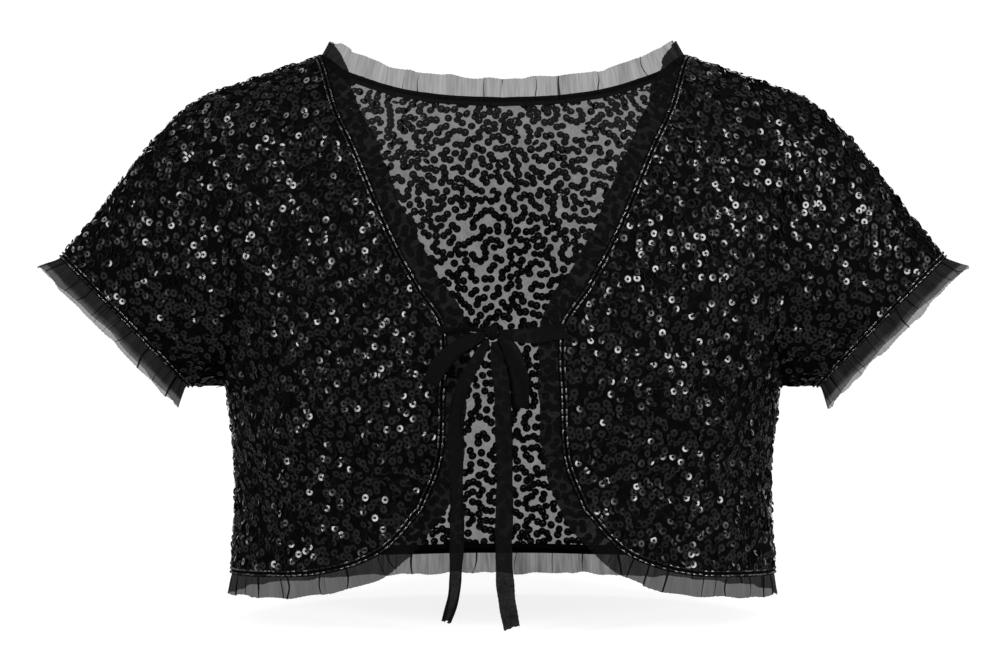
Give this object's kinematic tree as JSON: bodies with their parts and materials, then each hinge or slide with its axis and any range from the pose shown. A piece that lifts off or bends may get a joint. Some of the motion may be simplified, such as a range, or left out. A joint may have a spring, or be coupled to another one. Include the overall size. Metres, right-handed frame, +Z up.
{
  "type": "cropped blouse",
  "caption": "Cropped short-sleeved evening bolero of sequined sheer mesh, with raw-edged ruffles, bugle-bead edging and a ribbon bow at the front, in its worn hollow form.",
  "frame": {"origin": "middle of the neck opening, level with the two neck points of the shoulder seams", "axes": "+Z up as worn, the front faces -Y, +X towards the wearer's left sleeve"},
  "size_m": [0.596, 0.2272, 0.3601],
  "materials": {
    "sequined_mesh": "sheer black mesh sewn all over with black sequins",
    "binding": "matt narrow black binding",
    "sheer_ruffle": "sheer crisp black chiffon with a raw edge",
    "ribbon": "soft matt black chiffon ribbon",
    "sequins": "glossy black",
    "bugle_beads": "glossy black"
  },
  "bodies": {
    "root": {"front_left": "sequined_mesh", "front_right": "sequined_mesh", "back": "sequined_mesh", "band_back_neck": "binding", "band_back_hem": "binding", "sleeve_left": "sequined_mesh", "sleeve_right": "sequined_mesh", "ruffle_front_left": "sheer_ruffle", "ruffle_front_right": "sheer_ruffle", "ruffle_back_neck": "sheer_ruffle", "ruffle_back_hem": "sheer_ruffle", "ruffle_cuff_left": "sheer_ruffle", "ruffle_cuff_right": "sheer_ruffle", "tie_string_left": "ribbon", "tie_string_right": "ribbon", "bow_loop_right": "ribbon", "bow_loop_left": "ribbon", "tail_right": "ribbon", "tail_left": "ribbon", "tie_knot": "ribbon"}
  },
  "joints": []
}
